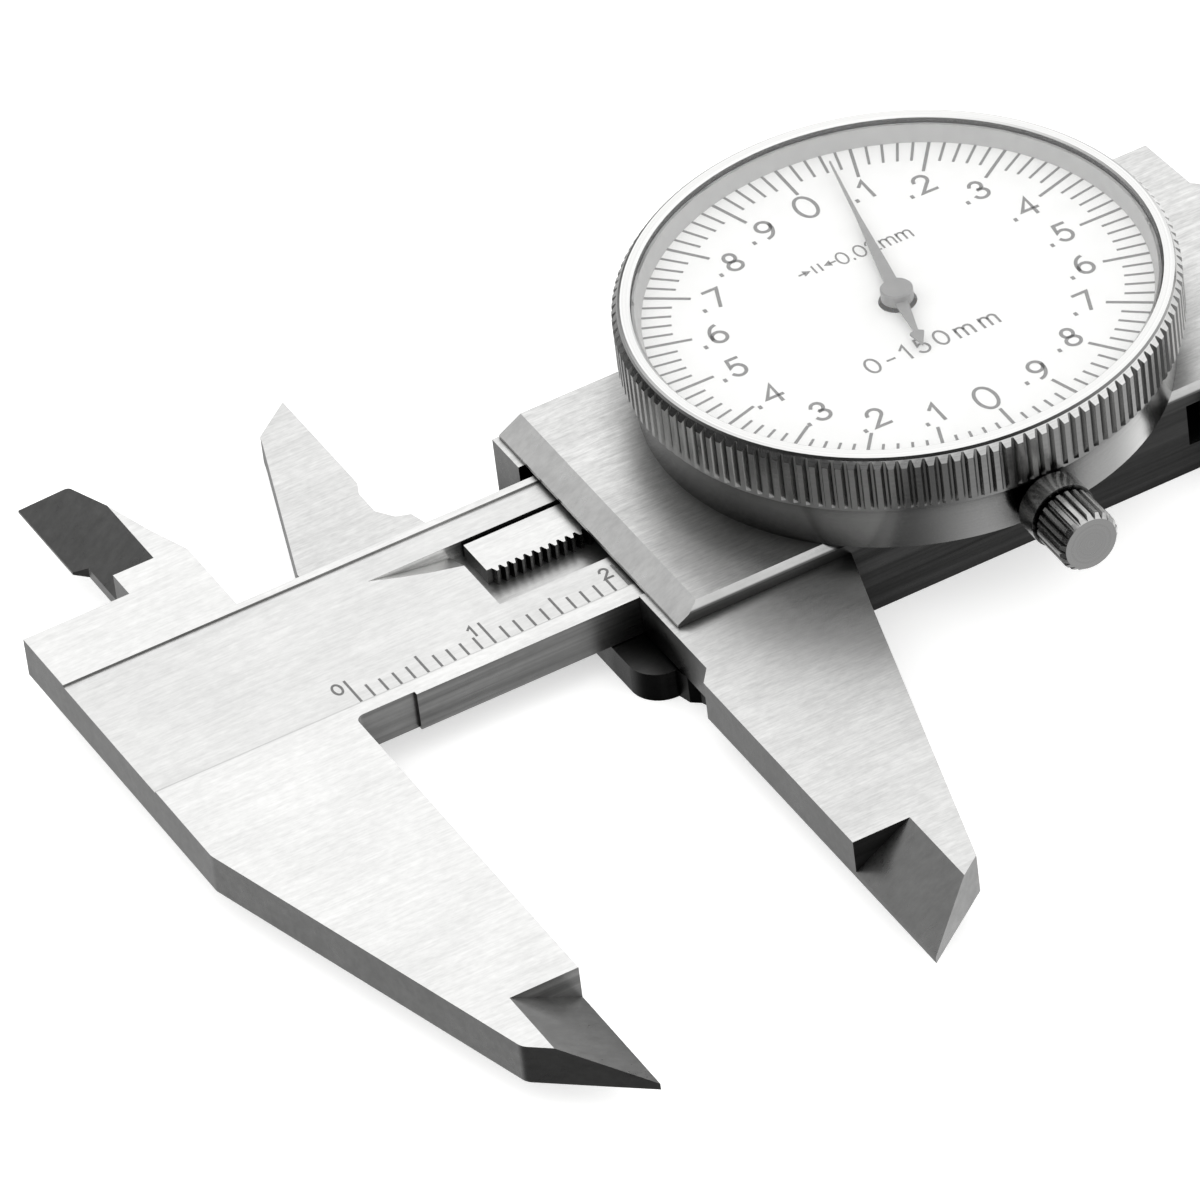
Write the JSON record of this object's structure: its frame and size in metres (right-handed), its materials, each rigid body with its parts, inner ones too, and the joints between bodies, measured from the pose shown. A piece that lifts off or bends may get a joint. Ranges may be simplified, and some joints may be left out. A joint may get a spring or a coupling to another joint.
{
  "type": "dial caliper",
  "caption": "Dial caliper with outside and inside jaws, rack-driven dial with turning knurled bezel, depth rod, thumb roller and lock screw.",
  "frame": {"origin": "in the middle of the fixed outside jaw's measuring face", "axes": "+X along the beam in the direction that opens the jaws, +Y towards the inside jaws, +Z out of the dial"},
  "size_m": [0.2301, 0.0756, 0.0148],
  "materials": {
    "satin_steel": "satin chrome",
    "fastener_steel": "turned",
    "bezel_chrome": "polished and knurled",
    "case_chrome": "satin",
    "brass": "machined",
    "bronze": "machined",
    "dial_enamel": "matt white",
    "pointer_paint": "dark grey",
    "spacer_plastic": "pale grey",
    "crystal": "clear"
  },
  "bodies": {
    "beam_body": {"beam": "satin_steel", "rack": "satin_steel", "rack_screws": "fastener_steel", "end_stop": "satin_steel", "end_stop_screws": "fastener_steel"},
    "slider_body": {"slider": "satin_steel", "cover_plate": "satin_steel", "cover_plate_screws": "fastener_steel", "gib": "bronze", "gib_screws": "fastener_steel", "depth_rod": "satin_steel", "depth_rod_screw": "fastener_steel", "roller_pin": "fastener_steel", "dial_case": "case_chrome", "case_screws": "fastener_steel", "movement_bridge": "brass", "bridge_pillars": "brass", "bridge_screws": "fastener_steel", "lower_bushes": "bronze", "upper_bushes": "bronze", "clamp_collar": "case_chrome", "clamp_shoe": "fastener_steel", "hairspring": "fastener_steel", "hairspring_stud": "fastener_steel", "bezel_spring_ring": "fastener_steel"},
    "drive_body": {"drive_arbor": "fastener_steel", "drive_wheel": "brass"},
    "pointer_body": {"centre_arbor": "fastener_steel", "pointer": "pointer_paint"},
    "backlash_body": {"backlash_arbor": "fastener_steel", "backlash_wheel": "brass"},
    "bezel_body": {"bezel": "bezel_chrome", "dial_face": "dial_enamel", "dial_spacer_ring": "spacer_plastic", "crystal": "crystal"},
    "roller_body": {"thumb_roller": "fastener_steel"},
    "lock_screw_body": {"lock_screw": "fastener_steel"},
    "clamp_screw_body": {"bezel_clamp_screw": "fastener_steel"}
  },
  "joints": [
    {"name": "slider_travel", "type": "slide", "parent": "beam_body", "child": "slider_body", "axis": [1, 0, 0], "range_m": [-0.02007, 0.13193]},
    {"name": "drive_spin", "type": "hinge", "parent": "slider_body", "child": "drive_body", "pos_m": [0.03806, 0.0268, 0.0035], "axis": [0, 0, 1], "continuous": true},
    {"name": "pointer_spin", "type": "hinge", "parent": "slider_body", "child": "pointer_body", "pos_m": [0.04607, 0.028, 0.0035], "axis": [0, 0, 1], "continuous": true},
    {"name": "backlash_spin", "type": "hinge", "parent": "slider_body", "child": "backlash_body", "pos_m": [0.05408, 0.0292, 0.0035], "axis": [0, 0, 1], "continuous": true},
    {"name": "bezel_spin", "type": "hinge", "parent": "slider_body", "child": "bezel_body", "pos_m": [0.04607, 0.028, 0.0085], "axis": [0, 0, 1], "continuous": true},
    {"name": "roller_spin", "type": "hinge", "parent": "slider_body", "child": "roller_body", "pos_m": [0.06597, 0.01545, -0.00025], "axis": [0, 0, 1], "continuous": true},
    {"name": "lock_screw_turn", "type": "hinge", "parent": "slider_body", "child": "lock_screw_body", "pos_m": [0.04607, 0.04, 0.0001], "axis": [0, 1, 0], "range_deg": [-45, 540]},
    {"name": "clamp_screw_turn", "type": "hinge", "parent": "slider_body", "child": "clamp_screw_body", "pos_m": [0.04607, 0.006, 0.0046], "axis": [0, -1, 0], "range_deg": [-45, 360]}
  ],
  "couplings": [
    {"joint": "drive_spin", "follows": "slider_travel", "rad_per_m": 628.32},
    {"joint": "pointer_spin", "follows": "slider_travel", "rad_per_m": -3141.6},
    {"joint": "backlash_spin", "follows": "slider_travel", "rad_per_m": 628.32},
    {"joint": "roller_spin", "follows": "slider_travel", "rad_per_m": 224.72}
  ]
}
